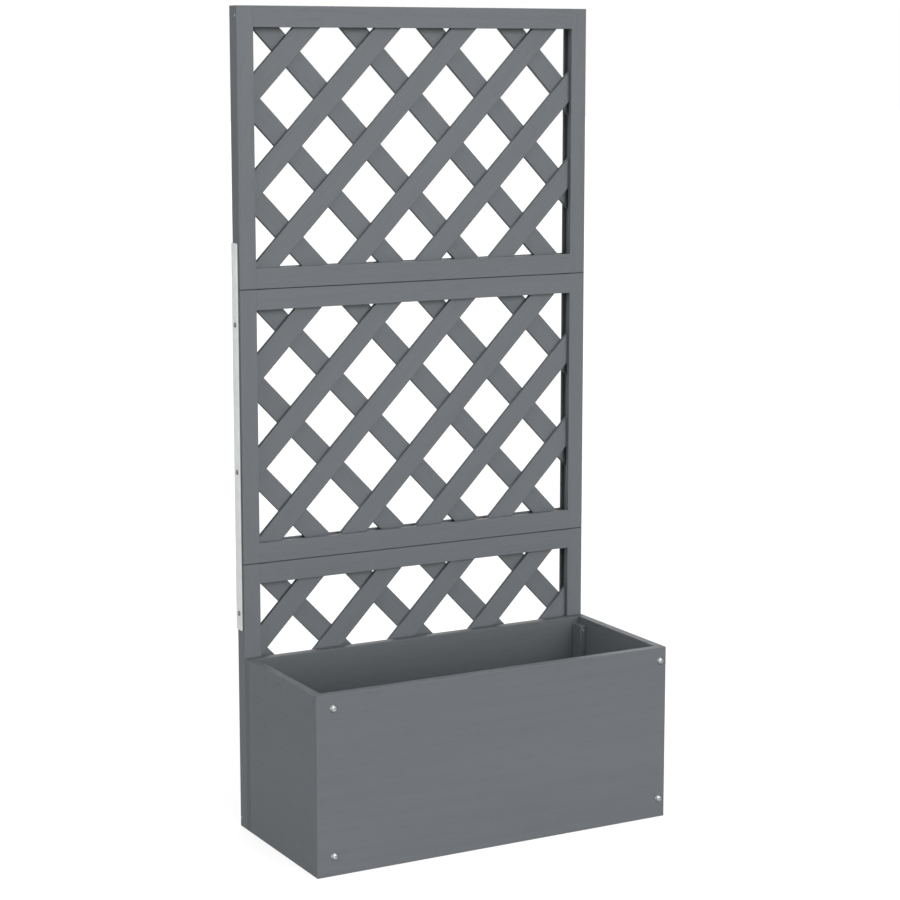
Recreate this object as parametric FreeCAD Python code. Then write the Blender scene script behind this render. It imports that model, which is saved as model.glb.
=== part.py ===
import FreeCAD, Part
import math
import os

# Planter trough with a three-panel lattice trellis, in millimetres.
# +X runs to the right, +Y to the rear and +Z up. The origin lies on the ground,
# under the middle of the whole planter.

os.makedirs("parts", exist_ok=True)
Vector = FreeCAD.Vector
LEFT, RIGHT = -1, 1

# ---------------------------------------------------------------- driving sizes

overall_width = 673.0            # trough and trellis are equally wide

# Trellis: three equal panels stand on each other
panel_names = ("lower", "middle", "upper")
panel_height = 466.7
frame_depth = 29.0               # stiles and rails, front to back
stile_width = 30.0
rail_height = 35.0
frame_edge_bevel = 1.3           # round the outside of each panel

# Groove along the inner edges of stiles and rails, which holds the lattice
groove_lip = 8.0                 # wood in front of the groove
groove_depth = 7.0
groove_play = 0.3                # behind the two layers of slats
tenon_play = 0.15                # at each cheek of a rail's tenon
tenon_end_gap = 0.5
slat_end_gap = 1.0

# Lattice: two layers of slats that lean opposite ways
slat_width = 36.0
slat_thickness = 8.5
slat_lean = 46.2                 # degrees from the horizontal
slat_pitch = 151.5               # along the width, from slat to slat
front_layer_offset = 61.0        # from the panel's centre to the slat with index 0
rear_layer_offset = 72.0
# How far each slat was laid off the even pitch, from index -3 to index 2
first_laid_slat = -3
front_slat_strays = (-2.0, -1.5, -6.0, 4.5, 1.0, -4.5)
rear_slat_strays = (2.0, -3.5, -7.0, 3.5, -1.0, 7.5)

# Trough
trough_depth = 279.0
trough_height = 305.0
board_thickness = 15.0
board_edge_bevel = 1.2

# Battens in the trough's corners
batten_drop = 12.0               # from the rim to a batten's top
batten_thickness = 12.0
front_batten_width = 34.0        # lies flat against the front board
rear_batten_width = 27.0         # lies flat against the side board

# Floor of the trough: boards across, on two cleats
cleat_section = 20.0
floor_underside = 40.0           # above the ground
floor_board_thickness = 10.0
floor_board_count = 7
floor_board_gap = 5.0            # lets water out
floor_edge_gap = 1.0             # to the trough's boards and battens

# Steel strips up both sides, which tie the three panels together
strip_thickness = 2.2
strip_width = 24.5
strip_length = 660.0
strip_below_seam = 115.7         # from the strip's foot up to the lower seam
strip_corner_bevel = 2.0
strip_screw_heights = (29.0, 273.0, 523.0)   # above the strip's foot

# Fasteners. Their round forms have few sides, so that the many of them stay light
bolt_sides = 16
screw_sides = 10
nail_sides = 8
bore_play = 0.1                  # round every shank, head and dowel
bolt_diameter = 5.0
bolt_head_diameter = 14.0
bolt_head_height = 3.5
bolt_head_land = 5.6             # flat round the socket
bolt_socket_across_flats = 4.0
bolt_socket_depth = 2.0
bolt_below_rim = 24.0
bolt_above_ground = 33.0
left_bolt_inset = 31.0           # from the trough's left side
right_bolt_inset = 11.5          # from the right side, into the side board's end
right_bolt_reach = 35.0          # into the side board
bolt_end_past_nut = 2.0
washer_diameter = 12.0
washer_thickness = 1.0
nut_across_flats = 8.0
nut_height = 4.0

trellis_screw_diameter = 5.0
trellis_screw_head = 8.0
trellis_screw_reach = 20.0       # into the stile
trellis_screw_below_rim = 20.0

batten_screw_diameter = 4.0
batten_screw_head = 7.0
batten_screw_reach = 10.0        # into the side board
batten_screw_heights = (95.0, 230.0)

frame_screw_diameter = 3.0
frame_screw_head = 6.0
frame_screw_length = 55.0
frame_screw_from_end = 16.0      # from the panel's top or bottom
top_rail_screw_depth = 6.0       # from the frame's front face
bottom_rail_screw_depth = 25.0

strip_screw_diameter = 3.5
strip_screw_head = 8.0
strip_screw_head_height = 2.0
strip_screw_head_land = 3.0
strip_screw_reach = 19.0         # into the stile

cleat_screw_diameter = 3.5
cleat_screw_head = 7.0
cleat_screw_reach = 10.0         # into the trough's board
cleat_screw_inset = 56.0         # from the cleat's end

nail_diameter = 2.2
nail_head = 5.0
nail_reach = 15.0                # into the cleat

dowel_diameter = 8.0
dowel_length = 30.0
dowel_end_gap = 1.0
dowel_spread = 400.0             # between the two dowels of a seam

# ---------------------------------------------------------------- derived places

half_width = overall_width / 2
overall_depth = bolt_head_height + trough_depth + frame_depth
trough_front = bolt_head_height - overall_depth / 2
frame_front = trough_front + trough_depth        # also the trough's back
frame_rear = frame_front + frame_depth

opening_half = half_width - stile_width
opening_height = panel_height - 2 * rail_height
groove_front = frame_front + groove_lip
groove_rear = groove_front + 2 * slat_thickness + groove_play
slat_housing = groove_depth - slat_end_gap
tenon_length = groove_depth - tenon_end_gap

inner_half = half_width - board_thickness
inner_front = trough_front + board_thickness
inner_rear = frame_front - board_thickness
batten_top = trough_height - batten_drop
floor_top = floor_underside + floor_board_thickness
cleat_underside = floor_underside - cleat_section
upper_bolt_height = trough_height - bolt_below_rim

pieces = {}                      # node name: list of solids


# ---------------------------------------------------------------- general shapes

def block(x0, x1, y0, y1, z0, z1):
    """A square-edged block between two corners."""
    return Part.makeBox(x1 - x0, y1 - y0, z1 - z0, Vector(x0, y0, z0))


def sided_block(side, near, far, y0, y1, z0, z1):
    """A block on one side, from `near` to `far` off the middle plane."""
    x0, x1 = sorted((side * near, side * far))
    return block(x0, x1, y0, y1, z0, z1)


def bevelled(solid, width, chosen=lambda edge: True):
    """The solid with a narrow bevel along the chosen edges."""
    return solid.makeChamfer(width, [edge for edge in solid.Edges if chosen(edge)])


def along(edge, axis):
    """Whether an edge runs parallel to an axis."""
    start, end = (vertex.Point for vertex in edge.Vertexes)
    return abs((end - start).normalize().dot(axis)) > 0.999


def ring(radius, distance, sides):
    """The corners of a regular polygon round the Z axis, or its centre where radius is 0."""
    turns = [math.radians(360 * step / sides) for step in range(sides)]
    return [Vector(radius * math.cos(turn), radius * math.sin(turn), distance)
            for turn in turns]


def turned(profile, sides, start, direction):
    """A many-sided turned solid through (radius, distance) points along its axis.

    The first and last point either lie on the axis or end the solid with a flat face.
    """
    rings = [ring(radius, distance, sides) for radius, distance in profile]
    outlines = [rings[end] for end in (0, -1) if profile[end][0] > 0]
    for near, far in zip(rings, rings[1:]):
        for step in range(sides):
            after = (step + 1) % sides
            corners = [near[step], near[after], far[after], far[step]]
            outlines.append([corner for count, corner in enumerate(corners)
                             if (corner - corners[count - 1]).Length > 0])
    faces = [Part.Face(Part.makePolygon(outline + outline[:1])) for outline in outlines]
    solid = Part.Solid(Part.Shell(faces))
    if solid.Volume < 0:
        solid.reverse()
    solid.Placement = FreeCAD.Placement(start, FreeCAD.Rotation(Vector(0, 0, 1), direction))
    return solid


def hexagon_bar(across_flats, height, start, direction):
    """A six-sided bar with its axis from `start`."""
    corner = across_flats / math.sqrt(3)
    return turned([(corner, 0), (corner, height)], 6, start, direction)


# ---------------------------------------------------------------- fasteners

def flush_screw(head, diameter, length, sides, start, direction):
    """A countersunk screw or nail, its flat head level with the surface at `start`."""
    shank = diameter / 2
    return turned([(head / 2, 0), (shank, head / 2 - shank), (shank, length - diameter),
                   (0, length)], sides, start, direction)


def flush_hole(head, diameter, length, sides, start, direction):
    """The hole for a flush screw, with play all round."""
    shank = diameter / 2
    return turned([(head / 2 + bore_play, 0), (shank + bore_play, head / 2 - shank),
                   (shank + bore_play, length)], sides, start, direction)


def round_hole(diameter, length, sides, start, direction):
    """A plain drilled hole, with play round what goes into it."""
    radius = diameter / 2 + bore_play
    return turned([(radius, 0), (radius, length)], sides, start, direction)


def domed_screw(head, land, head_height, diameter, length, sides, start, direction):
    """A screw or bolt whose low dome, with a flat land on top, stands on the surface."""
    rise = ((head / 2) ** 2 - (land / 2) ** 2 - head_height ** 2) / (2 * head_height)
    ball = math.hypot(head / 2, rise)
    dome = [(math.sqrt(ball ** 2 - (rise + head_height * share) ** 2), -head_height * share)
            for share in (1.0, 0.7, 0.35, 0.0)]
    shank = diameter / 2
    return turned(dome + [(shank, 0), (shank, length - diameter), (shank * 0.3, length)],
                  sides, start, direction)


def socket_bolt(length, start, direction):
    """A dome-headed bolt with a hexagon socket."""
    bolt = domed_screw(bolt_head_diameter, bolt_head_land, bolt_head_height,
                       bolt_diameter, length, bolt_sides, start, direction)
    socket = hexagon_bar(bolt_socket_across_flats, bolt_socket_depth,
                         start - direction * bolt_head_height, direction)
    return bolt.cut(socket).Solids[0]


def bore(hole, *names):
    """Drill a hole through the named pieces."""
    for name in names:
        pieces[name] = [solid.cut(hole).Solids[0] for solid in pieces[name]]


# ---------------------------------------------------------------- trellis panels

def stile(side, base, envelope):
    """An upright of a panel, with the lattice groove along its inner edge."""
    top = base + panel_height
    upright = envelope.common(
        sided_block(side, opening_half, half_width, frame_front, frame_rear, base, top))
    groove = sided_block(side, opening_half, opening_half + groove_depth,
                         groove_front, groove_rear, base, top)
    return upright.cut(groove)


def rail(base, rail_base, groove_base, envelope):
    """A cross rail with a stub tenon at both ends and the lattice groove."""
    rail_top = rail_base + rail_height
    reach = opening_half + tenon_length
    shoulders = block(-opening_half, opening_half, frame_front, frame_rear, rail_base, rail_top)
    tenons = block(-reach, reach, groove_front + tenon_play, groove_rear - tenon_play,
                   rail_base, rail_top)
    groove = block(-reach, reach, groove_front, groove_rear,
                   groove_base, groove_base + groove_depth)
    return envelope.common(shoulders.fuse(tenons).removeSplitter()).cut(groove)


def slat_layer(base, front, lean, offset, strays):
    """Parallel slats of one layer, cut to the rectangle that the grooves hold."""
    middle = base + panel_height / 2
    window = block(-opening_half - slat_housing, opening_half + slat_housing,
                   front, front + slat_thickness,
                   base + rail_height - slat_housing,
                   base + panel_height - rail_height + slat_housing)
    bar_length = 2 * (overall_width + panel_height)
    # A slat belongs to the layer where its centreline crosses the opening
    reach = opening_half + opening_height / 2 / math.tan(math.radians(slat_lean))
    most = math.ceil((reach + abs(offset)) / slat_pitch)
    slats = []
    for index in range(-most, most + 1):
        laid = index - first_laid_slat
        stray = strays[laid] if 0 <= laid < len(strays) else 0.0
        place = offset + slat_pitch * index + stray
        if abs(place) < reach:
            bar = Part.makeBox(bar_length, slat_thickness, slat_width,
                               Vector(-bar_length / 2, front, -slat_width / 2))
            bar.rotate(Vector(), Vector(0, 1, 0), -lean * slat_lean)
            bar.translate(Vector(place, 0, middle))
            slats.append(window.common(bar).Solids[0])
    return slats


def trellis_panel(name, base):
    """One panel: two stiles, two rails and two layers of slats."""
    top = base + panel_height
    envelope = bevelled(block(-half_width, half_width, frame_front, frame_rear, base, top),
                        frame_edge_bevel)
    pieces[name + "_left_stile"] = [stile(LEFT, base, envelope)]
    pieces[name + "_right_stile"] = [stile(RIGHT, base, envelope)]
    pieces[name + "_bottom_rail"] = [
        rail(base, base, base + rail_height - groove_depth, envelope)]
    pieces[name + "_top_rail"] = [
        rail(base, top - rail_height, top - rail_height, envelope)]
    pieces[name + "_front_slats"] = slat_layer(
        base, groove_front, 1, front_layer_offset, front_slat_strays)
    pieces[name + "_rear_slats"] = slat_layer(
        base, groove_front + slat_thickness, -1, rear_layer_offset, rear_slat_strays)


panel_bases = {name: panel_height * count for count, name in enumerate(panel_names)}
for panel, panel_base in panel_bases.items():
    trellis_panel(panel, panel_base)

# Screws through the stiles into the ends of the rails
pieces["frame_screws"] = []
for panel, panel_base in panel_bases.items():
    rail_screws = (
        ("_bottom_rail", panel_base + frame_screw_from_end, bottom_rail_screw_depth),
        ("_top_rail", panel_base + panel_height - frame_screw_from_end, top_rail_screw_depth))
    for rail_name, height, depth in rail_screws:
        for side, stile_name in ((LEFT, "_left_stile"), (RIGHT, "_right_stile")):
            start = Vector(side * half_width, frame_front + depth, height)
            sizes = (frame_screw_head, frame_screw_diameter, frame_screw_length,
                     screw_sides, start, Vector(-side, 0, 0))
            pieces["frame_screws"].append(flush_screw(*sizes))
            bore(flush_hole(*sizes), panel + stile_name, panel + rail_name)

# Dowels across the seams between the panels
pieces["panel_dowels"] = []
for lower, upper in zip(panel_names, panel_names[1:]):
    for side in (LEFT, RIGHT):
        seam = Vector(side * dowel_spread / 2, (frame_front + frame_rear) / 2, panel_bases[upper])
        foot = seam - Vector(0, 0, dowel_length / 2)
        radius = dowel_diameter / 2
        pieces["panel_dowels"].append(
            turned([(radius, 0), (radius, dowel_length)], bolt_sides, foot, Vector(0, 0, 1)))
        hole = round_hole(dowel_diameter, dowel_length + 2 * dowel_end_gap, bolt_sides,
                          foot - Vector(0, 0, dowel_end_gap), Vector(0, 0, 1))
        bore(hole, lower + "_top_rail", upper + "_bottom_rail")

# ---------------------------------------------------------------- side strips

strip_foot = panel_bases[panel_names[1]] - strip_below_seam
strip_front = frame_rear - strip_width
for side, side_name in ((LEFT, "left"), (RIGHT, "right")):
    strip = sided_block(side, half_width, half_width + strip_thickness,
                        strip_front, frame_rear, strip_foot, strip_foot + strip_length)
    strip = bevelled(strip, strip_corner_bevel, lambda edge: along(edge, Vector(1, 0, 0)))
    pieces[side_name + "_joining_strip"] = [strip]

pieces["strip_screws"] = []
for side, side_name in ((LEFT, "left"), (RIGHT, "right")):
    for above_foot in strip_screw_heights:
        height = strip_foot + above_foot
        start = Vector(side * (half_width + strip_thickness),
                       strip_front + strip_width / 2, height)
        inward = Vector(-side, 0, 0)
        length = strip_thickness + strip_screw_reach
        pieces["strip_screws"].append(
            domed_screw(strip_screw_head, strip_screw_head_land, strip_screw_head_height,
                        strip_screw_diameter, length, screw_sides, start, inward))
        crossed = [name for name, base in panel_bases.items()
                   if base < height < base + panel_height]
        bore(round_hole(strip_screw_diameter, length, screw_sides, start, inward),
             side_name + "_joining_strip", crossed[0] + "_" + side_name + "_stile")

# ---------------------------------------------------------------- trough boards

def joint_edge(edge, depth):
    """Whether an edge is upright and stands at a depth where a side board meets it."""
    return along(edge, Vector(0, 0, 1)) and math.isclose(edge.BoundBox.Center.y, depth)


for board, y0, y1, joint in (("front_board", trough_front, inner_front, inner_front),
                             ("back_board", inner_rear, frame_front, inner_rear)):
    pieces[board] = [
        bevelled(block(-half_width, half_width, y0, y1, 0, trough_height), board_edge_bevel,
                 lambda edge, depth=joint: not joint_edge(edge, depth))]

for side, side_name in ((LEFT, "left"), (RIGHT, "right")):
    side_board = sided_block(side, inner_half, half_width, inner_front, inner_rear,
                             0, trough_height)
    pieces[side_name + "_side_board"] = [
        bevelled(side_board, board_edge_bevel, lambda edge: along(edge, Vector(0, 1, 0)))]
    pieces["front_" + side_name + "_batten"] = [
        sided_block(side, inner_half - front_batten_width, inner_half,
                    inner_front, inner_front + batten_thickness, 0, batten_top)]
    pieces["rear_" + side_name + "_batten"] = [
        sided_block(side, inner_half - batten_thickness, inner_half,
                    inner_rear - rear_batten_width, inner_rear, 0, batten_top)]

# ---------------------------------------------------------------- trough floor

front_cleat_half = inner_half - front_batten_width - floor_edge_gap
rear_cleat_half = inner_half - batten_thickness - floor_edge_gap
pieces["front_cleat"] = [
    block(-front_cleat_half, front_cleat_half, inner_front, inner_front + cleat_section,
          cleat_underside, floor_underside)]
pieces["rear_cleat"] = [
    block(-rear_cleat_half, rear_cleat_half, inner_rear - cleat_section, inner_rear,
          cleat_underside, floor_underside)]

floor_half = inner_half - floor_edge_gap
floor_board_width = ((2 * floor_half + floor_board_gap) / floor_board_count
                     - floor_board_gap)
floor_board_pitch = floor_board_width + floor_board_gap
floor_front = inner_front + floor_edge_gap
floor_rear = inner_rear - floor_edge_gap
notches = [
    sided_block(side, inner_half - width - floor_edge_gap, inner_half,
                min(y0, y1), max(y0, y1), floor_underside, floor_top)
    for side in (LEFT, RIGHT)
    for width, y0, y1 in (
        (front_batten_width, inner_front, inner_front + batten_thickness + floor_edge_gap),
        (batten_thickness, inner_rear, inner_rear - rear_batten_width - floor_edge_gap))]
floor_centres = []
for count in range(floor_board_count):
    board_left = -floor_half + floor_board_pitch * count
    floor_board = block(board_left, board_left + floor_board_width, floor_front, floor_rear,
                        floor_underside, floor_top)
    for notch in notches:
        floor_board = floor_board.cut(notch)
    pieces["floor_board_%d" % (count + 1)] = [floor_board.Solids[0]]
    floor_centres.append(board_left + floor_board_width / 2)

# ---------------------------------------------------------------- trough fasteners

# Left: bolts through the front board and its batten, each with washer and nut
backwards = Vector(0, 1, 0)
pieces["front_bolts"] = []
pieces["front_bolt_washers"] = []
pieces["front_bolt_nuts"] = []
bolt_grip = board_thickness + batten_thickness
bolt_length = bolt_grip + washer_thickness + nut_height + bolt_end_past_nut
for height in (upper_bolt_height, bolt_above_ground):
    start = Vector(left_bolt_inset - half_width, trough_front, height)
    washer_seat = start + backwards * bolt_grip
    nut_seat = washer_seat + backwards * washer_thickness
    hole = round_hole(bolt_diameter, bolt_length, bolt_sides, start, backwards)
    radius = washer_diameter / 2
    washer = turned([(radius, 0), (radius, washer_thickness)], bolt_sides, washer_seat, backwards)
    nut = hexagon_bar(nut_across_flats, nut_height, nut_seat, backwards)
    pieces["front_bolts"].append(socket_bolt(bolt_length, start, backwards))
    pieces["front_bolt_washers"].append(washer.cut(hole).Solids[0])
    pieces["front_bolt_nuts"].append(nut.cut(hole).Solids[0])
    bore(hole, "front_board", "front_left_batten")

# Right: screws with the same heads, into the end of the side board
pieces["front_end_screws"] = []
for height in (upper_bolt_height, bolt_above_ground):
    start = Vector(half_width - right_bolt_inset, trough_front, height)
    length = board_thickness + right_bolt_reach
    pieces["front_end_screws"].append(socket_bolt(length, start, backwards))
    bore(round_hole(bolt_diameter, length, bolt_sides, start, backwards),
         "front_board", "right_side_board")

# Long screws through the rear battens and the back board into the lower stiles
pieces["trellis_screws"] = []
trellis_screw_length = rear_batten_width + board_thickness + trellis_screw_reach
for side, side_name in ((LEFT, "left"), (RIGHT, "right")):
    for height in (trough_height - trellis_screw_below_rim, bolt_above_ground):
        start = Vector(side * (inner_half - batten_thickness / 2),
                       inner_rear - rear_batten_width, height)
        sizes = (trellis_screw_head, trellis_screw_diameter, trellis_screw_length,
                 bolt_sides, start, backwards)
        pieces["trellis_screws"].append(flush_screw(*sizes))
        bore(flush_hole(*sizes), "rear_" + side_name + "_batten", "back_board",
             "lower_" + side_name + "_stile", "lower_bottom_rail")

# Screws from inside that hold the battens to the side boards
pieces["batten_screws"] = []
for side, side_name in ((LEFT, "left"), (RIGHT, "right")):
    outward = Vector(side, 0, 0)
    for batten, width, depth in (
            ("front_", front_batten_width, inner_front + batten_thickness / 2),
            ("rear_", batten_thickness, inner_rear - rear_batten_width / 2)):
        for height in batten_screw_heights:
            start = Vector(side * (inner_half - width), depth, height)
            sizes = (batten_screw_head, batten_screw_diameter, width + batten_screw_reach,
                     screw_sides, start, outward)
            pieces["batten_screws"].append(flush_screw(*sizes))
            bore(flush_hole(*sizes), batten + side_name + "_batten", side_name + "_side_board")

# Screws from inside that hold the cleats to the front and back boards
pieces["cleat_screws"] = []
for cleat, board, cleat_half, depth, direction in (
        ("front_cleat", "front_board", front_cleat_half, inner_front + cleat_section,
         Vector(0, -1, 0)),
        ("rear_cleat", "back_board", rear_cleat_half, inner_rear - cleat_section,
         Vector(0, 1, 0))):
    end_place = cleat_half - cleat_screw_inset
    for place in (-end_place, floor_board_pitch / 2, end_place):
        start = Vector(place, depth, floor_underside - cleat_section / 2)
        sizes = (cleat_screw_head, cleat_screw_diameter, cleat_section + cleat_screw_reach,
                 screw_sides, start, direction)
        pieces["cleat_screws"].append(flush_screw(*sizes))
        bore(flush_hole(*sizes), cleat, board)

# Nails that hold each floor board to both cleats
pieces["floor_nails"] = []
for count, centre in enumerate(floor_centres):
    for cleat, depth in (("front_cleat", inner_front + cleat_section / 2),
                         ("rear_cleat", inner_rear - cleat_section / 2)):
        start = Vector(centre, depth, floor_top)
        sizes = (nail_head, nail_diameter, floor_board_thickness + nail_reach,
                 nail_sides, start, Vector(0, 0, -1))
        pieces["floor_nails"].append(flush_screw(*sizes))
        bore(flush_hole(*sizes), "floor_board_%d" % (count + 1), cleat)

# ---------------------------------------------------------------- output

for name, solids in pieces.items():
    shape = solids[0] if len(solids) == 1 else Part.makeCompound(solids)
    sound = all(solid.isValid() and solid.Volume > 0 for solid in solids)
    print("%-24s %2d solids %10.0f mm3 %s" % (name, len(solids), shape.Volume,
                                             "" if sound else "NOT SOUND"))
    shape.exportStep("parts/%s.step" % name)
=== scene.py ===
# %% [markdown]
# # A planter with a trellis
#
# The object is a wooden trough for soil with a lattice trellis behind it, all in a
# cool grey paint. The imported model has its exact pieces, with square or bevelled
# edges and plain fasteners. This lesson dresses it: boards and slats get softly
# rounded edges and wood grain under the paint, screws get their heads, and the
# scene gets a floor, light and a camera. Each step says what the piece is in the
# workshop, how it could be made in Blender, and why this way was chosen.

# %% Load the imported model
import math

import bmesh
import bpy
import numpy as np
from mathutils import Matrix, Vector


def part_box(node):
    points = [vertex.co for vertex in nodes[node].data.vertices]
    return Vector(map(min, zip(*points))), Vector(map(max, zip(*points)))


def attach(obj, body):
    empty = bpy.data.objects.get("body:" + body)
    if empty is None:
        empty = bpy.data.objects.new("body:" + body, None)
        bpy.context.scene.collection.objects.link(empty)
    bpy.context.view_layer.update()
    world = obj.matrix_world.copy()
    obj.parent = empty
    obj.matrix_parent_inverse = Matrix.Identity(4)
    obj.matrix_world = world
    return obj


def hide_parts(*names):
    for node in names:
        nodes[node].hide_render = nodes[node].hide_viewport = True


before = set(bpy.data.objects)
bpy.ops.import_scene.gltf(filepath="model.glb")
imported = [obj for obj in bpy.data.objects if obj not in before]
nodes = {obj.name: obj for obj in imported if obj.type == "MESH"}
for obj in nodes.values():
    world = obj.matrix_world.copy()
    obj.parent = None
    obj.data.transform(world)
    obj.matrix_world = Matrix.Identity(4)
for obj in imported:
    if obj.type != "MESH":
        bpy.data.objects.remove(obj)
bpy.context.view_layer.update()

# %% [markdown]
# ## Camera
#
# The photograph was taken from the left, a little below the trellis's top, with a
# long lens. The camera's place was worked out beforehand from the corners of the
# trough and the trellis, so here it is only written down. A camera could also track
# an empty, but a fixed turn is plainer and repeats exactly.

# %% Camera
camera_place = (-1.9071, -3.4587, 1.3210)      # metres
camera_turn_right = 28.77                      # degrees from straight to the back
camera_tilt_down = 9.01
camera_sensor = 36                             # millimetres
camera_lens = 94.16
camera_shift = -0.025
planter_middle = (0, 0, 0.7)

camera_data = bpy.data.cameras.new("camera")
camera_data.sensor_width = camera_sensor
camera_data.lens = camera_lens
camera_data.shift_y = camera_shift
camera = bpy.data.objects.new("camera", camera_data)
camera.location = camera_place
camera.rotation_euler = (math.radians(90 - camera_tilt_down), 0,
                         -math.radians(camera_turn_right))
bpy.context.scene.collection.objects.link(camera)
bpy.context.scene.camera = camera
print("the camera stands", round(math.dist(camera_place, planter_middle), 2), "m away")

# %% [markdown]
# ## Studio light
#
# The photograph has soft light without a hard shadow anywhere. The front is a
# little brighter than the left side, the rims of the trough are brightest, the
# right one most of all, and the light reaches well down inside the trough. That
# asks for three large soft lights, all low: one at the front, one on the left, and
# one behind on the right that glances off the rims. A fourth, weak one overhead
# lifts all rims a little.
#
# Each is a sun lamp with a very wide disc. It acts like a large softbox far away,
# and lights the floor evenly out to the horizon, where an area lamp near the object
# would leave the floor behind it grey. The strengths were found by rendering the
# planter under each lamp alone, reading the same places as in the photograph, and
# solving for the mix. The camera sees a white backdrop instead of the world, so the
# world may be dim without greying the picture.

# %% World and lamps
world_strength = 0.32
backdrop_strength = 1.0
white = (1, 1, 1, 1)
lamps = {          # degrees to the right of the front, degrees up, degrees wide, strength
    "front_lamp": (10, 18, 42, 3.85),
    "left_lamp": (-90, 10, 55, 3.2),
    "rear_lamp": (150, 15, 55, 1.1),
    "top_lamp": (0, 80, 60, 1.1),
}

scene = bpy.context.scene
scene.view_settings.view_transform = "Standard"
world = bpy.data.worlds.new("studio")
world.use_nodes = True
scene.world = world
world_tree = world.node_tree
sky = world_tree.nodes["Background"]
sky.inputs["Color"].default_value = white
sky.inputs["Strength"].default_value = world_strength
backdrop = world_tree.nodes.new("ShaderNodeBackground")
backdrop.inputs["Color"].default_value = white
backdrop.inputs["Strength"].default_value = backdrop_strength
seen = world_tree.nodes.new("ShaderNodeLightPath")
either = world_tree.nodes.new("ShaderNodeMixShader")
world_tree.links.new(seen.outputs["Is Camera Ray"], either.inputs[0])
world_tree.links.new(sky.outputs[0], either.inputs[1])
world_tree.links.new(backdrop.outputs[0], either.inputs[2])
world_tree.links.new(either.outputs[0], world_tree.nodes["World Output"].inputs["Surface"])

for lamp_name, (to_right, up, width, strength) in lamps.items():
    lamp_data = bpy.data.lights.new(lamp_name, "SUN")
    lamp_data.energy = strength
    lamp_data.angle = math.radians(width)
    lamp = bpy.data.objects.new(lamp_name, lamp_data)
    lamp.rotation_euler = (math.radians(90 - up), 0, math.radians(to_right))
    scene.collection.objects.link(lamp)
print(len(lamps), "lamps and a world of strength", world_strength)

# %% [markdown]
# ## Helpers for materials
#
# A material in Blender is a net of nodes. Numbers that change over a surface read
# best as arithmetic, so a small class wraps a socket and turns Python's operators
# into Math nodes. Everything else comes from one method that takes the node's type,
# its settings and what goes into its sockets.

# %% Number and Finish
class Number:
    """A number that changes over a surface. Arithmetic on it adds Math nodes."""

    def __init__(self, finish, socket):
        self.finish = finish
        self.socket = socket

    def math(self, operation, first, second):
        made = self.finish.node("ShaderNodeMath", {"operation": operation},
                                {0: first, 1: second})
        return Number(self.finish, made.outputs[0])

    def __add__(self, other):
        return self.math("ADD", self, other)

    def __radd__(self, other):
        return self.math("ADD", other, self)

    def __sub__(self, other):
        return self.math("SUBTRACT", self, other)

    def __rsub__(self, other):
        return self.math("SUBTRACT", other, self)

    def __mul__(self, other):
        return self.math("MULTIPLY", self, other)

    def __rmul__(self, other):
        return self.math("MULTIPLY", other, self)

    def ramp(self, low, high):
        """0 below low, 1 above high, with a smooth rise between them."""
        made = self.finish.node("ShaderNodeMapRange",
                                {"interpolation_type": "SMOOTHSTEP"},
                                {"Value": self, "From Min": low, "From Max": high})
        return Number(self.finish, made.outputs[0])


class Finish:
    """A material that is being written."""

    def __init__(self, name):
        self.material = bpy.data.materials.new(name)
        self.material.use_nodes = True
        self.tree = self.material.node_tree
        self.shader = self.tree.nodes["Principled BSDF"]

    def node(self, kind, settings, values):
        """A node of a kind. Its settings come first, then its sockets' values or links."""
        made = self.tree.nodes.new(kind)
        for setting, value in settings.items():
            setattr(made, setting, value)
        for socket, value in values.items():
            self.feed(made.inputs[socket], value)
        return made

    def feed(self, socket, value):
        """Link a number or a socket to a socket, or set the socket's own value."""
        if isinstance(value, Number):
            value = value.socket
        if isinstance(value, bpy.types.NodeSocket):
            self.tree.links.new(value, socket)
        else:
            socket.default_value = value

    def stretched(self, place, scales):
        """Coordinates multiplied along their three axes."""
        made = self.node("ShaderNodeVectorMath", {"operation": "MULTIPLY"},
                         {0: place, 1: scales})
        return made.outputs[0]

    def noise(self, place, scales, detail=2.0, roughness=0.5):
        """Cloudy noise from 0 to 1, with about one blob per 1 / scale metres."""
        made = self.node("ShaderNodeTexNoise", {},
                         {"Vector": self.stretched(place, scales), "Scale": 1.0,
                          "Detail": detail, "Roughness": roughness})
        return Number(self, made.outputs[0])

    def blend(self, share, first, second):
        """A colour between two colours, at the share of the second."""
        first, second = (colour + (1,) if isinstance(colour, tuple) else colour
                         for colour in (first, second))
        made = self.node("ShaderNodeMix", {"data_type": "RGBA"},
                         {"Factor": share, "A": first, "B": second})
        return made.outputs["Result"]

    def surface(self, **values):
        """Feed sockets of the shader, with an underscore for each space in a name."""
        for name, value in values.items():
            self.feed(self.shader.inputs[name.replace("_", " ")], value)

    def bump(self, height, depth):
        """Raise the surface by height times depth, in metres."""
        made = self.node("ShaderNodeBump", {}, {"Height": height, "Distance": depth})
        self.feed(self.shader.inputs["Normal"], made.outputs[0])


print("helpers ready:", Number.__name__, "and", Finish.__name__)

# %% [markdown]
# ## Floor
#
# A plain pale floor, large enough that its edge never shows. It isn't part of the
# object, so it is staged. The photograph has a white ground without a shadow. A
# studio gets that with a table lit from below, so the floor glows by itself and the
# planter's soft shadow stays faint. Seen by the planter the table glows less, as a
# real one does at a slant, or its glare would wash out the side.

# %% Floor
half_floor = 40.0
floor_glow = 0.75
glow_seen_by_planter = 0.28
floor_grey = 0.25
floor_roughness = 0.85

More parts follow.
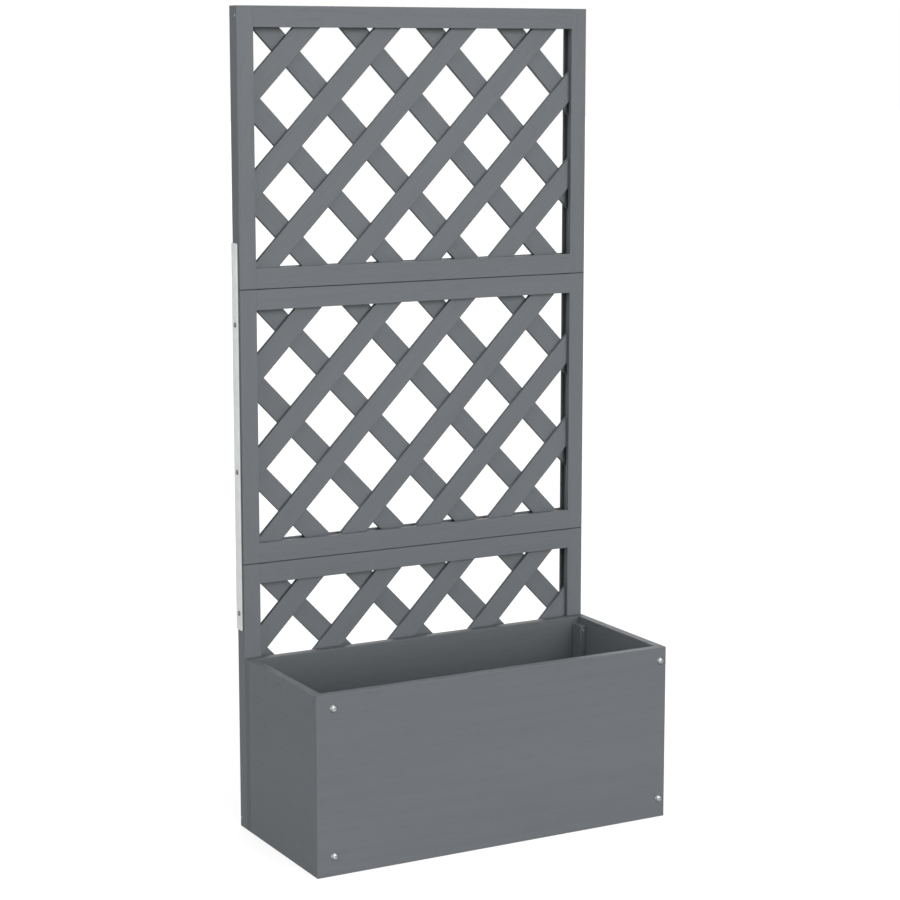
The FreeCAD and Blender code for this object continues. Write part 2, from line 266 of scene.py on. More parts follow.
floor_mesh = bpy.data.meshes.new("floor")
floor_mesh.from_pydata([(-half_floor, -half_floor, 0), (half_floor, -half_floor, 0),
                        (half_floor, half_floor, 0), (-half_floor, half_floor, 0)],
                       [], [(0, 1, 2, 3)])
floor = bpy.data.objects.new("floor", floor_mesh)
scene.collection.objects.link(floor)
floor_finish = Finish("pale_floor")
direct = floor_finish.node("ShaderNodeLightPath", {}, {}).outputs["Is Camera Ray"]
glow = floor_finish.blend(direct, (glow_seen_by_planter,) * 3, (1, 1, 1))
floor_finish.surface(Base_Color=(floor_grey, floor_grey, floor_grey, 1),
                     Roughness=floor_roughness, Emission_Color=glow,
                     Emission_Strength=floor_glow)
floor_mesh.materials.append(floor_finish.material)
print("the floor is", 2 * half_floor, "m wide")

# %% [markdown]
# ## Paint over fir
#
# The planter is planed fir under an opaque, matt, cool grey paint. The figure of
# the wood shows only faintly: fine raised fibres, short darker strokes where paint
# has sunk into the grain, and a slow change of tone along a board. All of it runs
# with the grain, so the pattern needs to know which way each piece lies. Dust and
# painted shade in the two seams between the panels draw them as thin dark lines.
#
# New pieces carry an attribute called grain: the place in the piece's own
# measures, along, across and through the wood. One material then serves upright
# stiles, level rails and leaning slats. The paint is very matt, so it gets a low
# IOR: it mirrors little and keeps its tone when a lamp shines on it at a slant.

# %% Painted wood
paint_dark = (0.0755, 0.0818, 0.088)
paint_light = (0.0895, 0.0970, 0.105)
middle_tone = 0.55                     # 0 is the dark paint, 1 the light one
paint_roughness = 0.50
paint_ior = 1.3
board_scale = (2.1, 9.0, 9.0)          # patches per metre: along, across, through
band_scale = (3.5, 95.0, 95.0)
fibre_scale = (26.0, 620.0, 620.0)
stroke_scale = (34.0, 330.0, 330.0)
relief = 0.00012                       # metres


def grain_attribute(finish):
    """The place in the piece's own measures, in metres."""
    return finish.node("ShaderNodeAttribute", {"attribute_name": "grain"}, {}).outputs["Vector"]


def object_place(finish):
    """The place in the object's frame, in metres."""
    return finish.node("ShaderNodeTexCoord", {}, {}).outputs["Object"]


panels = ("lower", "middle", "upper")
seam_heights = [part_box(panel + "_left_stile")[0][2] for panel in panels[1:]]
seam_half = 0.0009
seam_darkness = 0.75
# The seams' colour: dust and painted shade in one.
seam_dust_and_shade_colour = (0.01, 0.01, 0.01)


def seam_dust_and_shade(finish):
    """Dust and painted shade in the seams between panels: high near a seam's height.

    The squared distance from a seam rises from 0, so one ramp round the squared
    half width of the dark line, taken from 1, gives the mask of that seam.
    """
    split = finish.node("ShaderNodeSeparateXYZ", {}, {"Vector": object_place(finish)})
    height = Number(finish, split.outputs["Z"])
    masks = [1 - ((height - seam) * (height - seam)).ramp(0.2 * seam_half ** 2,
                                                          2.0 * seam_half ** 2)
             for seam in seam_heights]
    return sum(masks[1:], masks[0]) * seam_darkness


def painted_wood(name, dark=paint_dark, light=paint_light):
    """Matt paint whose tone, roughness and relief follow the grain."""
    finish = Finish(name)
    place = grain_attribute(finish)
    board = finish.noise(place, board_scale, detail=3.0)
    bands = finish.noise(place, band_scale)
    fibres = finish.noise(place, fibre_scale, detail=3.0, roughness=0.6)
    sunk = finish.noise(place, stroke_scale, detail=1.0).ramp(0.60, 0.72)
    tone = (middle_tone + (board - 0.5) * 0.9 + (bands - 0.5) * 0.7
            + (fibres - 0.5) * 0.8 - sunk * 0.35)
    painted = finish.blend(tone, dark, light)
    # Painted shade: the seams' dust and shade darken the base colour.
    finish.surface(Base_Color=finish.blend(seam_dust_and_shade(finish), painted, seam_dust_and_shade_colour),
                   Roughness=paint_roughness + (fibres - 0.5) * 0.16 + sunk * 0.08,
                   IOR=paint_ior)
    finish.bump(fibres * 0.7 + bands * 0.5 - sunk * 0.6, relief)
    return finish.material


frame_paint = painted_wood("frame_paint")
print("frame paint has", len(frame_paint.node_tree.nodes), "nodes")

# %% [markdown]
# ## Wood as a section carried along a path
#
# Every board, stile, rail and slat is a cross-section that runs along a line, the
# way a planer makes it. A cube with a Bevel modifier could do the plain boards,
# but not a grooved stile or a slat that ends in two grooves at once. So the
# section is worked out once as points, and numpy lays it down again and again
# along the length. Every corner of the section is a small arc.

# %% Section of a board
arc_points = 5
arc_turn = np.linspace(0, math.pi / 2, arc_points)


def outline(corners, radii, step=0.02):
    """Points round a section with right-angled corners, and how worn each point is.

    An arc point is the corner, moved by the radius along both of its sides, and
    from there back by the radius times the cosine and the sine of the turn. Points
    at most a step apart are then added along the straight sides.
    """
    corners = np.array(corners, float)
    radii = np.array(radii, float)[:, None]
    before = np.roll(corners, 1, axis=0) - corners
    after = np.roll(corners, -1, axis=0) - corners
    before /= np.linalg.norm(before, axis=1)[:, None]
    after /= np.linalg.norm(after, axis=1)[:, None]
    centres = (corners + radii * (before + after))[:, None]
    reach = radii[:, None]
    arcs = (centres - reach * (after[:, None] * np.cos(arc_turn)[None, :, None]
                               + before[:, None] * np.sin(arc_turn)[None, :, None]))
    points = arcs.reshape(-1, 2)
    worn = (np.sin(2 * arc_turn)[None] * (radii / radii.max())).ravel()
    closed = np.vstack([points, points[:1]])
    length = np.r_[0, np.cumsum(np.linalg.norm(np.diff(closed, axis=0), axis=1))]
    places = np.unique(np.r_[length[:-1], np.arange(0, length[-1], step)])
    return (np.c_[np.interp(places, length, closed[:, 0]),
                  np.interp(places, length, closed[:, 1])],
            np.interp(places, length, np.r_[worn, worn[0]]))


def rectangle(width, thickness, radius, step=0.02):
    """The section of a plain board, centred across its width, from 0 through it."""
    half = width / 2
    return outline([(-half, 0), (half, 0), (half, thickness), (-half, thickness)],
                   [radius] * 4, step)


print("a plain section has", len(rectangle(0.1, 0.015, 0.001)[0]), "points")

# %% [markdown]
# ## Carrying the section
#
# A ring is the section at one distance. Near an eased end the rings draw in, so
# the end gets the same small arc as the long edges. Drawing in is a simple clip:
# the section is held inside a box that shrinks towards the end.

# %% Rings, and a skin over them
def eased_stations(near, far, radius, step=0.04):
    """Distances from near to far, with how far the section draws in at each.

    An eased end follows a quarter circle: the distance grows by radius times one
    minus the cosine, while the draw-in is radius times one minus the sine.
    """
    middle = np.linspace(near + radius, far - radius,
                         max(2, int(math.ceil((far - near) / step))))
    grow = radius * (1 - np.cos(arc_turn[:-1]))
    drawn = radius * (1 - np.sin(arc_turn[:-1]))
    distances = np.r_[near + grow, middle, far - grow[::-1]]
    insets = np.r_[drawn, np.zeros(len(middle)), drawn[::-1]]
    return distances, insets


def carried(section, worn, distances, insets, sides=(1, 1, 1, 1)):
    """The rings of a piece in its own measures: along, across and through.

    Point k of ring r lies at distance r, at section point k, held inside the
    section's box drawn in by inset r on the sides that are eased. Sides are low
    across, high across, low through and high through.
    """
    low = section.min(axis=0) + insets[:, None] * np.array(sides[0::2])
    high = section.max(axis=0) - insets[:, None] * np.array(sides[1::2])
    flat = np.clip(section[None], low[:, None], high[:, None])
    along = np.broadcast_to(distances.reshape(len(distances), -1)[:, :, None],
                            flat.shape[:2] + (1,))
    most = max(insets.max(), 1e-9)
    at_end = np.sin(math.pi * insets / most)[:, None] * np.ones(len(section))
    return np.concatenate([along, flat], axis=2), np.maximum(at_end, worn[None])


def skin(ring_count, round_count):
    """Faces between rings: ring r, place k joins its neighbours round and along."""
    number = np.arange(ring_count * round_count).reshape(ring_count, round_count)
    after = np.roll(number, -1, axis=1)
    faces = np.stack([number[:-1], number[1:], after[1:], after[:-1]], axis=-1)
    return faces.reshape(-1, 4), number[0], number[-1][::-1]


print("eased stations of a 0.3 m board:", len(eased_stations(0, 0.3, 0.001)[0]))

# %% [markdown]
# ## From rings to an object
#
# One function turns placed rings into a mesh. It closes both ends, stores the grain
# and wear attributes, and merges points that coincide. Faces must point outwards,
# so they are recalculated after the merge. Each piece then stands for its packed
# node, and the distance between their boxes is printed as a check.

# %% Making pieces
X, Y, Z = np.eye(3)
random = np.random.default_rng(7)
timber = ((0, -0.5, -0.5), (40, 0.5, 0.5))     # metres: along, across, through
merge_distance = 1e-6
smooth_from = 0.05                             # faces with more wear are rounded ones


def corners_of(node):
    """The low and the high corner of a node's box."""
    return np.array(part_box(node))


def placed(rings, start, along, across, through):
    """Rings in metres: the start, plus each measure times its direction."""
    return start + rings @ np.array([along, across, through])


def grain_of(rings):
    """The rings' own measures, moved to a fresh stretch of timber."""
    return rings + random.uniform(*timber)


def build(name, skins, material, replaced):
    """One object from closed skins of (points, grain, worn), in place of a node."""
    all_points, all_grain, all_worn = zip(*skins)
    points = np.concatenate([part.reshape(-1, 3) for part in all_points])
    grain = np.concatenate([part.reshape(-1, 3) for part in all_grain])
    worn = np.concatenate([part.ravel() for part in all_worn])
    faces = []
    first = 0
    for part in all_points:
        quads, near, far = skin(*part.shape[:2])
        faces += (quads + first).tolist() + [(near + first).tolist(), (far + first).tolist()]
        first += part.shape[0] * part.shape[1]
    mesh = bpy.data.meshes.new(name)
    mesh.from_pydata(points, [], faces)
    grain_data = mesh.attributes.new("grain", "FLOAT_VECTOR", "POINT").data
    grain_data.foreach_set("vector", grain.ravel())
    worn_data = mesh.attributes.new("worn", "FLOAT", "POINT").data
    worn_data.foreach_set("value", worn)
    work = bmesh.new()
    work.from_mesh(mesh)
    bmesh.ops.remove_doubles(work, verts=work.verts, dist=merge_distance)
    bmesh.ops.recalc_face_normals(work, faces=work.faces)
    work.to_mesh(mesh)
    work.free()
    worn_now = np.zeros(len(mesh.vertices), np.float32)
    mesh.attributes["worn"].data.foreach_get("value", worn_now)
    starts = np.zeros(len(mesh.polygons), np.int32)
    mesh.polygons.foreach_get("loop_start", starts)
    corners = np.zeros(len(mesh.loops), np.int32)
    mesh.loops.foreach_get("vertex_index", corners)
    rounded = np.maximum.reduceat(worn_now[corners], starts) > smooth_from
    mesh.polygons.foreach_set("use_smooth", rounded)
    piece = bpy.data.objects.new(name, mesh)
    scene.collection.objects.link(piece)
    mesh.materials.append(material)
    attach(piece, "root")
    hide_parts(replaced)
    low, high = corners_of(replaced)
    off = max(np.abs(points.min(axis=0) - low).max(), np.abs(points.max(axis=0) - high).max())
    print(name, len(mesh.polygons), "faces, box within", round(off * 1000, 2), "mm of its node")


# %% [markdown]
# ## The trough's boards
#
# Four boards, 15 mm thick. The front and back boards run the whole width, and the
# side boards stand between them. The grain runs along each board. Where a board
# meets another one its edge stays square, and every free edge is eased. The back
# board gets the same paint in a darker mix, painted shade over the whole board,
# its rim and inner face too.
#
# One function makes any plain board from its node's box: three directions say which
# way it runs, which way its width goes and which way its thickness goes.

# %% Trough boards
board_edge = 0.0012
# The back board's darker mix is painted shade, for the shade inside the trough.
shaded_back_paint = painted_wood("shaded_back_paint", (0.062, 0.067, 0.072), (0.074, 0.080, 0.086))


def board(node, along, across, through, slot, edge=board_edge, eased=(1, 1, 1, 1), ends=True,
          paint=frame_paint):
    """A board that fills its node's box, with eased edges and, if asked, eased ends."""
    low, high = corners_of(node)
    start = np.where(along + across + through > 0, low, high)
    length, width, thickness = (abs((high - low) @ way) for way in (along, across, through))
    section, worn = outline([(0, 0), (width, 0), (width, thickness), (0, thickness)],
                            [edge] * 4)
    distances, insets = eased_stations(0, length, edge if ends else 0)
    rings, wear = carried(section, worn, distances, insets, eased)
    points = placed(rings, start, along, across, through)
    build(node + "_painted", [(points, grain_of(rings), wear)], paint, node)


board("front_board", X, Z, Y, "trough_wood", eased=(1, 1, 1, 0))
board("back_board", X, Z, -Y, "trough_wood", eased=(1, 1, 1, 0), paint=shaded_back_paint)
board("left_side_board", Y, Z, X, "trough_wood", ends=False)
board("right_side_board", Y, Z, -X, "trough_wood", ends=False)

# %% [markdown]
# ## Stiles and rails
#
# Each panel's frame is grooved along its inner edges, and the rails end in stub
# tenons that sit in the stiles' grooves. The groove is part of the section: eight
# corners instead of four. A Boolean could cut it too, but it leaves long thin
# faces, and the section is exact.

# %% Stiles and rails
frame_edge = 0.0013
inner_edge = 0.0004
square_edge = 0.0001
groove_lip = 0.008
groove_depth = 0.007
slat_thickness = 0.0085
groove_play = 0.0003
tenon_play = 0.00015
rail_rings = 16
groove_width = 2 * slat_thickness + groove_play
frame_front, frame_rear = corners_of("upper_left_stile")[:, 1]
frame_depth = frame_rear - frame_front


def grooved(width, outer_edge):
    """A stile's or rail's section, from its outer edge to its grooved inner edge."""
    back = groove_lip + groove_width
    floor_of_groove = width - groove_depth
    corners = [(0, 0), (width, 0), (width, groove_lip), (floor_of_groove, groove_lip),
               (floor_of_groove, back), (width, back), (width, frame_depth), (0, frame_depth)]
    radii = [outer_edge, inner_edge, inner_edge, square_edge,
             square_edge, inner_edge, inner_edge, outer_edge]
    return outline(corners, radii)


def stile(panel, side, inwards):
    """An upright: its section starts at the outer face and its ends are eased."""
    node = panel + "_" + side + "_stile"
    low, high = corners_of(node)
    section, worn = grooved(high[0] - low[0], frame_edge)
    distances, insets = eased_stations(0, high[2] - low[2], frame_edge)
    rings, wear = carried(section, worn, distances, insets, (1, 0, 1, 1))
    start = low if inwards > 0 else np.array([high[0], low[1], low[2]])
    points = placed(rings, start, Z, inwards * X, Y)
    build(node + "_painted", [(points, grain_of(rings), wear)], frame_paint, node)


def rail(panel, edge, inwards):
    """A rail: full section between its shoulders, and a tenon past each of them."""
    node = panel + "_" + edge + "_rail"
    low, high = corners_of(node)
    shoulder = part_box(panel + "_right_stile")[0][0]
    section, worn = grooved(high[2] - low[2], frame_edge)
    tenon_front = groove_lip + tenon_play
    tenon_back = groove_lip + groove_width - tenon_play
    tenon = np.clip(section, (0, tenon_front), (high[2] - low[2] - groove_depth, tenon_back))
    middle = np.linspace(-shoulder, shoulder, rail_rings)
    distances = np.r_[low[0], -shoulder, middle, shoulder, high[0]]
    flat = np.stack([tenon] * 2 + [section] * len(middle) + [tenon] * 2)
    along = np.broadcast_to(distances[:, None, None], flat.shape[:2] + (1,))
    rings = np.concatenate([along, flat], axis=2)
    start = np.array([0, low[1], low[2] if inwards > 0 else high[2]])
    points = placed(rings, start, X, inwards * Z, Y)
    wear = np.broadcast_to(worn[None], rings.shape[:2])
    build(node + "_painted", [(points, grain_of(rings), wear)], frame_paint, node)


for panel in panels:
    stile(panel, "left", 1)
    stile(panel, "right", -1)
    rail(panel, "bottom", 1)
    rail(panel, "top", -1)

# %% [markdown]
# ## The lattice
#
# Two layers of slats cross at right angles or nearly so: the front layer climbs to
# the right, the rear layer to the left. They were laid by eye, so each one strays a
# little from the even pitch. A slat ends inside the grooves, cut along a stile or a
# rail, or along both where it meets a corner. So the rings of one slat aren't all
# square to it: each point of the section runs on until it meets the groove's floor.

# %% Slats
slat_width = 0.036
slat_edge = 0.0008
slat_lean = math.radians(46.2)
slat_pitch = 0.1515
slat_rings = 14
slat_section_step = 0.003
first_laid = -3                # the first slat's count from the middle
layers = {                     # lean, offset in metres, each slat's stray in millimetres
    "front_slats": (1, 0.061, (-2.0, -1.5, -6.0, 4.5, 1.0, -4.5)),
    "rear_slats": (-1, 0.072, (2.0, -3.5, -7.0, 3.5, -1.0, 7.5)),
}


def slat(place, lean, middle, half_width, half_height):
    """The rings of one slat and their place, from one end in the grooves to the other.

    A point of the section at an offset across the slat starts on the line through
    the slat's middle. The distance to each upright and level limit is the space to
    it divided by the slat's slope, and the nearer one on each side cuts the slat.
    """
    section, worn = rectangle(slat_width, slat_thickness, slat_edge, slat_section_step)
    along = math.cos(slat_lean) * X + lean * math.sin(slat_lean) * Z
    across = -lean * math.sin(slat_lean) * X + math.cos(slat_lean) * Z
    corners = np.array([(x, z) for x in (-half_width, half_width)
                        for z in (-half_height, half_height)])
    reach = (corners - (place, 0)) @ np.array([across[0], across[2]])
    section = np.c_[np.clip(section[:, 0], reach.min(), reach.max()), section[:, 1]]
    start_x = place + section[:, 0] * across[0]
    start_z = section[:, 0] * across[2]
    to_x = np.sort([(limit - start_x) / along[0] for limit in (-half_width, half_width)], axis=0)
    to_z = np.sort([(limit - start_z) / along[2] for limit in (-half_height, half_height)], axis=0)
    near = np.maximum(to_x[0], to_z[0])
    far = np.maximum(near, np.minimum(to_x[1], to_z[1]))
    share = np.linspace(0, 1, slat_rings)[:, None]
    rings, wear = carried(section, worn, near + share * (far - near), np.zeros(slat_rings))
    return rings, wear, placed(rings, np.array([place, 0, middle]), along, across, Y)


def slat_layer(panel, layer):
    """All slats of one layer of a panel, whose centrelines cross the opening."""
    lean, offset, strays = layers[layer]
    node = panel + "_" + layer
    low, high = corners_of(node)
    middle = (low[2] + high[2]) / 2
    half_width = high[0]
    half_height = (high[2] - low[2]) / 2
    skins = []
    for count, stray in enumerate(strays):
        place = offset + slat_pitch * (count + first_laid) + stray / 1000
        rings, wear, points = slat(place, lean, middle, half_width, half_height)
        skins.append((points + low[1] * Y, grain_of(rings), wear))
    build(node + "_painted", skins, frame_paint, node)


for panel in panels:
    for layer in layers:
        slat_layer(panel, layer)

# %% [markdown]
# ## Battens, cleats and floor
#
# Inside the trough a batten stands in each corner, and a cleat runs along the foot
# of the front and back boards. Seven short boards lie across the cleats, a finger's
# width of gaps in all, so that water runs out. They come from the same timber with
# less rounded edges. The cleats and the floor get the paint in a darker mix, painted
# shade for the bottom of the trough. The two outer floor boards are notched round
# the battens, so their outline is drawn in plan and carried up through the
# thickness, and the grain is turned to run from front to back as on the others.

# %% Battens, cleats and floor
inner_board_edge = 0.0008
floor_board_count = 7
# The darker mix for the cleats and the floor is painted shade.
shaded_inner_paint = painted_wood("shaded_inner_paint", (0.052, 0.056, 0.060), (0.070, 0.075, 0.080))

for side in ("left", "right"):
    for place in ("front", "rear"):
        board(place + "_" + side + "_batten", Z, X, Y, "inner_wood", edge=inner_board_edge)
inner_boards = {"front_cleat": (X, Z, Y), "rear_cleat": (X, Z, -Y)}
for count in range(2, floor_board_count):
    inner_boards["floor_board_" + str(count)] = (Y, X, Z)
for node, ways in inner_boards.items():
    board(node, *ways, "inner_wood", edge=inner_board_edge, paint=shaded_inner_paint)


def notched_floor_board(node, side, inwards):
    """An outer floor board, with a notch round the front and the rear batten."""
    low, high = corners_of(node)
    outer = low[0] if inwards > 0 else high[0]
    front, rear = (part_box(place + "_" + side + "_batten") for place in ("front", "rear"))
    inner_face = 1 if inwards > 0 else 0
    gap = low[1] - front[0][1]
    notch = [abs(batten[inner_face][0] - outer) + gap for batten in (front, rear)]
    front_step = front[1][1] + gap - low[1]
    rear_step = rear[0][1] - gap - low[1]
    width, length, thickness = high - low
    section, worn = outline([(notch[0], 0), (width, 0), (width, length), (notch[1], length),
                             (notch[1], rear_step), (0, rear_step), (0, front_step),
                             (notch[0], front_step)], [inner_board_edge] * 8)
    distances, insets = eased_stations(0, thickness, inner_board_edge)
    rings, wear = carried(section, worn, distances, insets)
    points = placed(rings, np.array([outer, low[1], low[2]]), Z, inwards * X, Y)
    grain = grain_of(rings[..., [2, 1, 0]])
    build(node + "_painted", [(points, grain, wear)], shaded_inner_paint, node)


notched_floor_board("floor_board_1", "left", 1)
notched_floor_board("floor_board_" + str(floor_board_count), "right", -1)

# %% [markdown]
# ## Zinc-plated steel
#
# The strips and all fasteners are zinc-plated. Fresh plating is half metal, half
# chalky bloom, so the strips are pale grey and only partly metallic. Their narrow
# edges are painted darker, a painted shade. The mask for that compares the face's
# own direction with the sheet's.
#
# The fasteners are darker and more metallic. The middle of a head gets a painted
# highlight and its rim a painted shade. Each screw's points carry their place round
# its own axis in the grain attribute, so the distance from the axis is a length of
# that vector.

# %% Metals
cloud_scale = (60.0, 60.0, 60.0)               # patches per metre
speckle_scale = (400.0, 400.0, 400.0)
rolling_scale = (1500.0, 1500.0, 30.0)         # long lines up the sheet
plating_relief = 0.00002


def zinc(name, shade_colour, bright, share, metallic, roughness, line_scale=speckle_scale):
    """Zinc plating between two colours, cloudy, with fine speckles or lines."""
    finish = Finish(name)
    place = object_place(finish)
    cloud = finish.noise(place, cloud_scale, detail=3.0)
    lines = finish.noise(place, line_scale)
    mixed = share(finish) * (0.85 + 0.3 * (cloud - 0.5))
    finish.surface(Base_Color=finish.blend(mixed, shade_colour, bright), Metallic=metallic,
                   Roughness=roughness + (lines - 0.5) * 0.16 + (cloud - 0.5) * 0.1)
    finish.bump(lines, plating_relief)
    return finish.material


def bright_faces_shaded_edges(finish):
    """1 on the sheet's two broad faces, 0 on its narrow edges."""
    normal = finish.node("ShaderNodeNewGeometry", {}, {}).outputs["True Normal"]
    along_x = finish.node("ShaderNodeVectorMath", {"operation": "DOT_PRODUCT"},
                          {0: normal, 1: (1, 0, 0)}).outputs["Value"]
    return (Number(finish, along_x) * Number(finish, along_x)).ramp(0.4, 0.8)


def highlit_middle_shaded_rim(inner, outer):
    """1 within the inner distance of a screw's axis, 0 beyond the outer one."""
    def share(finish):
        place = finish.stretched(grain_attribute(finish), (1, 1, 0))
        length = finish.node("ShaderNodeVectorMath", {"operation": "LENGTH"}, {0: place})
        return 1 - Number(finish, length.outputs["Value"]).ramp(inner, outer)
    return share


# Painted shade: the strips' narrow edges take the darker first colour.
strip_zinc = zinc("strip_zinc", (0.10, 0.11, 0.11), (0.66, 0.68, 0.67), bright_faces_shaded_edges,
                  0.35, 0.42, rolling_scale)
# Painted shade on each head's rim, the first colour, and a painted highlight in its middle.
bolt_zinc = zinc("bolt_zinc", (0.26, 0.27, 0.27), (0.40, 0.41, 0.41),
                 highlit_middle_shaded_rim(0.003, 0.007), 0.9, 0.42)
screw_zinc = zinc("screw_zinc", (0.16, 0.16, 0.16), (0.50, 0.51, 0.51),
                  highlit_middle_shaded_rim(0.0012, 0.0028), 0.9, 0.36)
strip_screw_zinc = zinc("strip_screw_zinc", (0.15, 0.15, 0.15), (0.40, 0.41, 0.41),
                        highlit_middle_shaded_rim(0.0010, 0.0026), 0.6, 0.40)
for metal in (strip_zinc, bolt_zinc, screw_zinc, strip_screw_zinc):
    print("zinc finish:", metal.name)

# %% [markdown]
# ## Joining strips
#
# A flat steel strip runs up each side of the trellis, across both seams, and holds
# the three panels in line. Its outline has small rounded corners. The outline is
# drawn as seen from the side and carried through the steel's thickness, and the
# first and last rings draw in a little, as a deburred edge does.

# %% Joining strips
strip_corner = 0.002
strip_edge = 0.0003

for side in ("left", "right"):
    node = side + "_joining_strip"
    low, high = corners_of(node)
    thickness, width, length = high - low
    section, worn = outline([(0, 0), (width, 0), (width, length), (0, length)],
                            [strip_corner] * 4)
    distances, insets = eased_stations(0, thickness, strip_edge)
    rings, wear = carried(section, worn, distances, insets)
    points = placed(rings, low, X, Y, Z)
    build(node + "_rolled", [(points, rings, wear)], strip_zinc, node)

# %% [markdown]
# ## Screws and bolts
#
# Every fastener is turned: a profile of radius and depth runs round an axis. The
# recess for the driver is pressed in: a point of the head's face moves down by an
# amount that depends on where it lies in the plan of a cross or a hexagon. So one
# grid of rings makes head, recess and shank together, with no Boolean. Heads that
# sink into the wood still rise a little at their middle, and their recess stays
# shallower than that rise.

# %% Turned fasteners
recess_wall = 0.0002
ring_step = 0.00025
centre_hole = 0.00005


def cross_recess(width, reach, depth):
    """Depth inside two crossed bars, with steep walls: depth times inside over wall."""
    def pressed(x, y):
        upright = np.minimum(width / 2 - abs(x), reach - abs(y))
        level = np.minimum(width / 2 - abs(y), reach - abs(x))
        return depth * np.clip(np.maximum(upright, level) / recess_wall, 0, 1)
    return pressed


def hexagon_recess(across_flats, depth):
    """Depth inside a hexagon: the least room to any of its three pairs of flats."""
    def pressed(x, y):
        turns = np.arange(3)[:, None, None] * math.pi / 3
        out = abs(x * np.cos(turns) + y * np.sin(turns)).max(axis=0)
        return depth * np.clip((across_flats / 2 - out) / recess_wall, 0, 1)
    return pressed


def fastener(head, rise, land, neck, shank, length, pressed, rounds=48):
    """Rings from the tip to the middle of the head, and how smooth each point is.

    The head's face is part of a ball through its rim and the edge of its land:
    height(r) = min(rise, sqrt(ball^2 - r^2) - drop), with drop and ball from
    drop = ((head/2)^2 - (land/2)^2 - rise^2) / (2 rise), ball^2 = (head/2)^2 + drop^2.
    """
    drop = ((head / 2) ** 2 - (land / 2) ** 2 - rise ** 2) / (2 * rise)
    face = np.linspace(head / 2, centre_hole, int(head / 2 / ring_step))
    height = np.minimum(rise, np.sqrt((head / 2) ** 2 + drop ** 2 - face ** 2) - drop)
    radius = np.r_[shank * 0.1, shank / 2, shank / 2, face]
    depth = np.r_[length, length - shank, neck, -height]
    turn = np.linspace(0, 2 * math.pi, rounds, endpoint=False)
    x = radius[:, None] * np.cos(turn)
    y = radius[:, None] * np.sin(turn)
    on_face = (np.arange(len(radius)) >= 3)[:, None]
    push = pressed(x, y) * on_face
    return np.stack([x, y, depth[:, None] + push], axis=-1), on_face * (push == 0) * 1.0


def fasteners(node, shape, places, metal=screw_zinc):
    """One shape at every (start, inward) place of a node, each turned as it stopped."""
    rings, worn = shape
    skins = []
    for start, inward in places:
        turn = random.uniform(0, math.pi)
        level = Z if abs(inward[2]) < 0.5 else Y
        beside = np.cross(level, inward)
        across = math.cos(turn) * beside + math.sin(turn) * level
        points = placed(rings, np.array(start), across, np.cross(inward, across), inward)
        skins.append((points, rings, worn))
    build(node + "_turned", skins, metal, node)


def plain_head(x, y):
    """No recess."""
    return 0 * x


def countersunk(head, shank, length, pressed):
    """A screw that is sunk flush and rises 0.5 mm at the middle of its head."""
    return fastener(head, rise=0.0005, land=0.001, neck=0.0015, shank=shank, length=length,
                    pressed=pressed)


small_cross = cross_recess(0.0009, 0.0016, 0.0004)
large_cross = cross_recess(0.0011, 0.0022, 0.0004)
raised_cross = cross_recess(0.0012, 0.0021, 0.0010)
bolt_socket = hexagon_recess(0.004, 0.002)
frame_screw = countersunk(0.006, 0.003, 0.055, small_cross)
print("a screw has", frame_screw[0].shape[:2], "rings and points")

# %% [markdown]
# ## Where the fasteners sit
#
# Domed bolts and screws hold the front board. Small countersunk screws go through
# the stiles into the rails, and larger ones through the battens. Screws with a
# raised head hold the strips. Nails hold the floor. The places follow from the
# boxes of the pieces that they join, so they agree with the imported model.

# %% Front bolts
half_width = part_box("front_board")[1][0]
trough_front, inner_front = corners_of("front_board")[:, 1]
bolt_heights = (0.281, 0.033)
domed_heads = {                                # place across the front, length
    "front_bolts": (0.031 - half_width, 0.034),
    "front_end_screws": (half_width - 0.0115, 0.050),
}

for node, (across, length) in domed_heads.items():
    shape = fastener(head=0.014, rise=0.0035, land=0.0056, neck=0, shank=0.005,
                     length=length, pressed=bolt_socket)
    fasteners(node, shape, [((across, trough_front, height), Y) for height in bolt_heights],
              bolt_zinc)

# %% Trellis screws
rail_screw_inset = 0.016                       # from the end of the stile
low_screw_depth = 0.025                        # from the front of the stile
high_screw_depth = 0.006
strip_screw_heights = (0.029, 0.273, 0.523)    # above the strip's foot

frame_places = []
for panel in panels:
    base, top = corners_of(panel + "_left_stile")[:, 2]
    for height, depth in ((base + rail_screw_inset, low_screw_depth),
                          (top - rail_screw_inset, high_screw_depth)):
        frame_places += [((side * half_width, frame_front + depth, height), -side * X)
                         for side in (-1, 1)]
fasteners("frame_screws", frame_screw, frame_places)

strip_low, strip_high = corners_of("right_joining_strip")
strip_middle = (strip_low[1] + strip_high[1]) / 2
strip_places = [((side * strip_high[0], strip_middle, strip_low[2] + above), -side * X)
                for side in (-1, 1) for above in strip_screw_heights]
strip_screw = fastener(head=0.0090, rise=0.0028, land=0.003, neck=0, shank=0.0035,
                       length=0.0212, pressed=raised_cross)
fasteners("strip_screws", strip_screw, strip_places, strip_screw_zinc)

# %% Screws and nails in the trough
inner_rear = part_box("back_board")[0][1]
inner_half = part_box("right_side_board")[0][0]
batten_thickness = 0.012
front_batten_width = 0.034
rear_batten_depth = 0.027
trellis_screw_heights = (0.285, 0.033)
batten_screw_heights = (0.095, 0.230)
nail_inset = 0.010

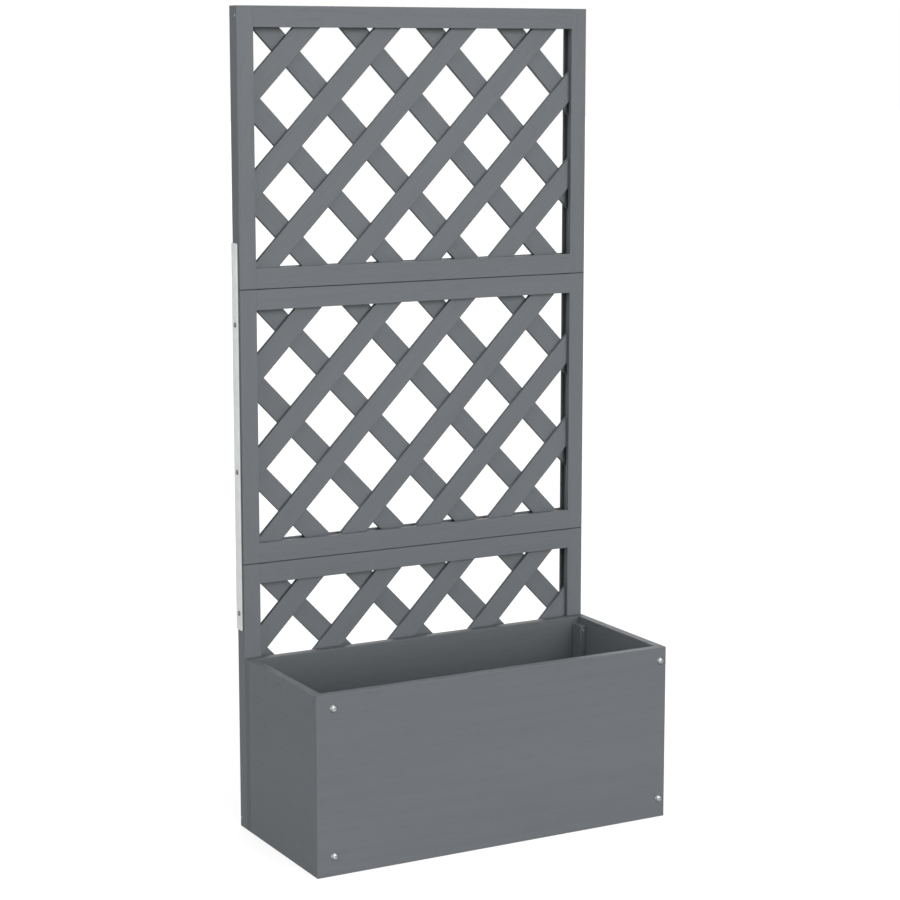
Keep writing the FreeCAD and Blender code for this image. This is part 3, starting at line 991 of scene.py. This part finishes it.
batten_middle = inner_half - batten_thickness / 2
fasteners("trellis_screws", countersunk(0.008, 0.005, 0.062, large_cross),
          [((side * batten_middle, inner_rear - rear_batten_depth, height), Y)
           for side in (-1, 1) for height in trellis_screw_heights])
batten_faces = ((front_batten_width, inner_front + batten_thickness / 2),
                (batten_thickness, inner_rear - rear_batten_depth / 2))
fasteners("batten_screws", countersunk(0.007, 0.004, 0.022, large_cross),
          [((side * (inner_half - width), depth, height), side * X)
           for side in (-1, 1) for height in batten_screw_heights
           for width, depth in batten_faces])
nail_places = []
for count in range(1, floor_board_count + 1):
    low, high = corners_of("floor_board_" + str(count))
    nail_places += [(((low[0] + high[0]) / 2, depth, high[2]), -Z)
                    for depth in (inner_front + nail_inset, inner_rear - nail_inset)]
nail = fastener(head=0.005, rise=0.0003, land=0.002, neck=0.0008, shank=0.0022,
                length=0.025, pressed=plain_head, rounds=24)
fasteners("floor_nails", nail, nail_places)

# %% [markdown]
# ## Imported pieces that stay
#
# Washers, nuts and the cleats' screws sit out of sight behind the boards, and the
# dowels are wholly inside the wood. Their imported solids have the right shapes, so
# they keep them and only get better materials, in the slots of their objects. The
# dowels are bare beech, with the short dark flecks that beech shows along its grain.

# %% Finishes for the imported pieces
beech_dark = (0.36, 0.22, 0.12)
beech_light = (0.58, 0.40, 0.24)
beech_ring_scale = (260.0, 260.0, 8.0)         # patches per metre: the grain stands up
beech_fleck_scale = (900.0, 900.0, 160.0)
beech_relief = 0.00005


def all_bright(finish):
    """The same share of the bright colour everywhere."""
    return 1.0


def bare_beech():
    """Unpainted beech whose grain stands upright."""
    finish = Finish("bare_beech")
    place = object_place(finish)
    rings = finish.noise(place, beech_ring_scale)
    flecks = finish.noise(place, beech_fleck_scale).ramp(0.58, 0.70)
    tone = 0.5 + (rings - 0.5) * 0.8 - flecks * 0.4
    finish.surface(Base_Color=finish.blend(tone, beech_dark, beech_light),
                   Roughness=0.60 + flecks * 0.1)
    finish.bump(rings - flecks, beech_relief)
    return finish.material


packed_zinc = zinc("packed_zinc", (0.22, 0.23, 0.23), (0.46, 0.47, 0.47), all_bright,
                   1.0, 0.34)
kept_finishes = {"front_bolt_washers": packed_zinc, "front_bolt_nuts": packed_zinc,
                 "cleat_screws": packed_zinc, "panel_dowels": bare_beech()}
for name, finish_material in kept_finishes.items():
    for own_slot in nodes[name].material_slots:
        own_slot.material = finish_material
    print(name, "keeps its solid, in", finish_material.name)
